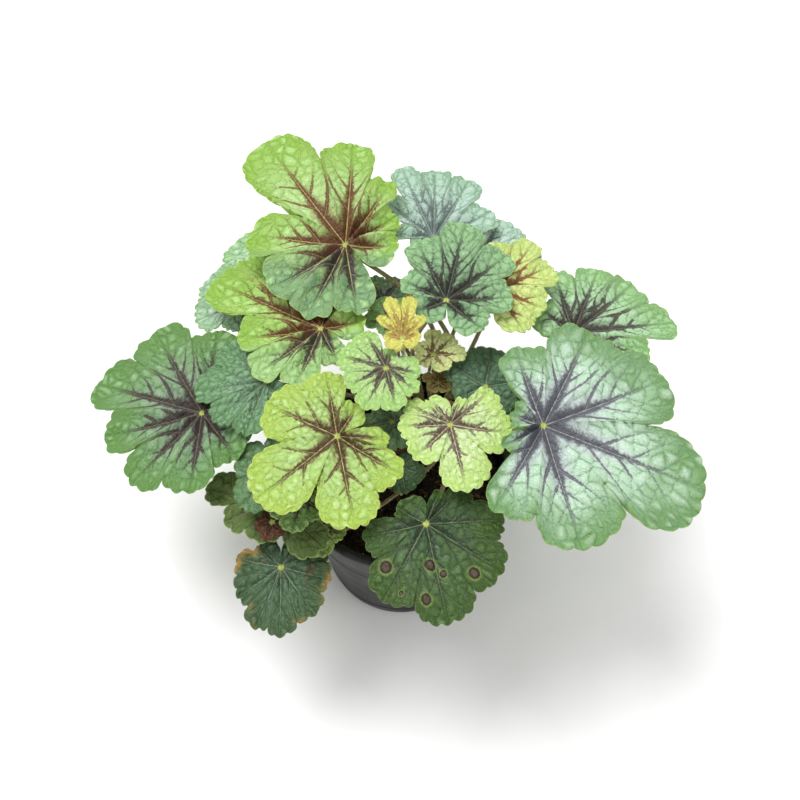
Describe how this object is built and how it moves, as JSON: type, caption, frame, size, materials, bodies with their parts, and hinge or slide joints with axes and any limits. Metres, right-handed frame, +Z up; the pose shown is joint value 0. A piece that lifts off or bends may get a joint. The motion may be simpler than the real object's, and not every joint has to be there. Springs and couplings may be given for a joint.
{
  "type": "heuchera plant in pot",
  "caption": "Heuchera in a round black nursery pot: a low mound of lobed, crenate leaves in lime, silver and dark green with maroon veins, on stalks from a woody crown.",
  "frame": {"origin": "centre of the pot's flat underside, on the surface that it stands on", "axes": "+Z up along the pot's axis; -Y towards the front, from where the picture looks; +X to the picture's right"},
  "size_m": [0.3507, 0.3085, 0.1887],
  "materials": {
    "pot": "satin",
    "soil": "matte",
    "crown": "matte",
    "leaf_right_big": "satin",
    "leaf_young_golden": "satin",
    "leaf_top_middle": "satin",
    "leaf_back_left_big": "satin",
    "leaf_middle_green": "satin",
    "leaf_small_olive": "satin",
    "leaf_middle_lime": "satin",
    "leaf_front_yellow": "satin",
    "leaf_left_upper": "satin",
    "leaf_back_yellow": "satin",
    "leaf_back_pale": "satin",
    "leaf_back_right_pale": "satin",
    "leaf_right_back": "satin",
    "leaf_behind_young": "satin",
    "leaf_back_grey": "satin",
    "leaf_back_left_bright": "satin",
    "leaf_left_dark": "satin",
    "leaf_far_left": "satin",
    "leaf_back_left_pale": "satin",
    "leaf_front_dark": "satin",
    "leaf_right_shade": "satin",
    "leaf_young_red": "satin",
    "leaf_middle_grey": "satin",
    "leaf_right_under": "satin",
    "leaf_low_oval": "satin",
    "leaf_left_grey": "satin",
    "leaf_low_green": "satin",
    "leaf_withered": "matte",
    "leaf_low_dark": "satin",
    "leaf_low_olive": "satin",
    "leaf_low_spotted": "satin",
    "leaf_front_left_dark": "satin"
  },
  "bodies": {
    "root": {"pot": "pot", "soil": "soil", "crown": "crown", "leaf_right_big": "leaf_right_big", "leaf_young_golden": "leaf_young_golden", "leaf_top_middle": "leaf_top_middle", "leaf_back_left_big": "leaf_back_left_big", "leaf_middle_green": "leaf_middle_green", "leaf_small_olive": "leaf_small_olive", "leaf_middle_lime": "leaf_middle_lime", "leaf_front_yellow": "leaf_front_yellow", "leaf_left_upper": "leaf_left_upper", "leaf_back_yellow": "leaf_back_yellow", "leaf_back_pale": "leaf_back_pale", "leaf_back_right_pale": "leaf_back_right_pale", "leaf_right_back": "leaf_right_back", "leaf_behind_young": "leaf_behind_young", "leaf_back_grey": "leaf_back_grey", "leaf_back_left_bright": "leaf_back_left_bright", "leaf_left_dark": "leaf_left_dark", "leaf_far_left": "leaf_far_left", "leaf_back_left_pale": "leaf_back_left_pale", "leaf_front_dark": "leaf_front_dark", "leaf_right_shade": "leaf_right_shade", "leaf_young_red": "leaf_young_red", "leaf_middle_grey": "leaf_middle_grey", "leaf_right_under": "leaf_right_under", "leaf_low_oval": "leaf_low_oval", "leaf_left_grey": "leaf_left_grey", "leaf_low_green": "leaf_low_green", "leaf_withered": "leaf_withered", "leaf_low_dark": "leaf_low_dark", "leaf_low_olive": "leaf_low_olive", "leaf_low_spotted": "leaf_low_spotted", "leaf_front_left_dark": "leaf_front_left_dark"}
  },
  "joints": []
}
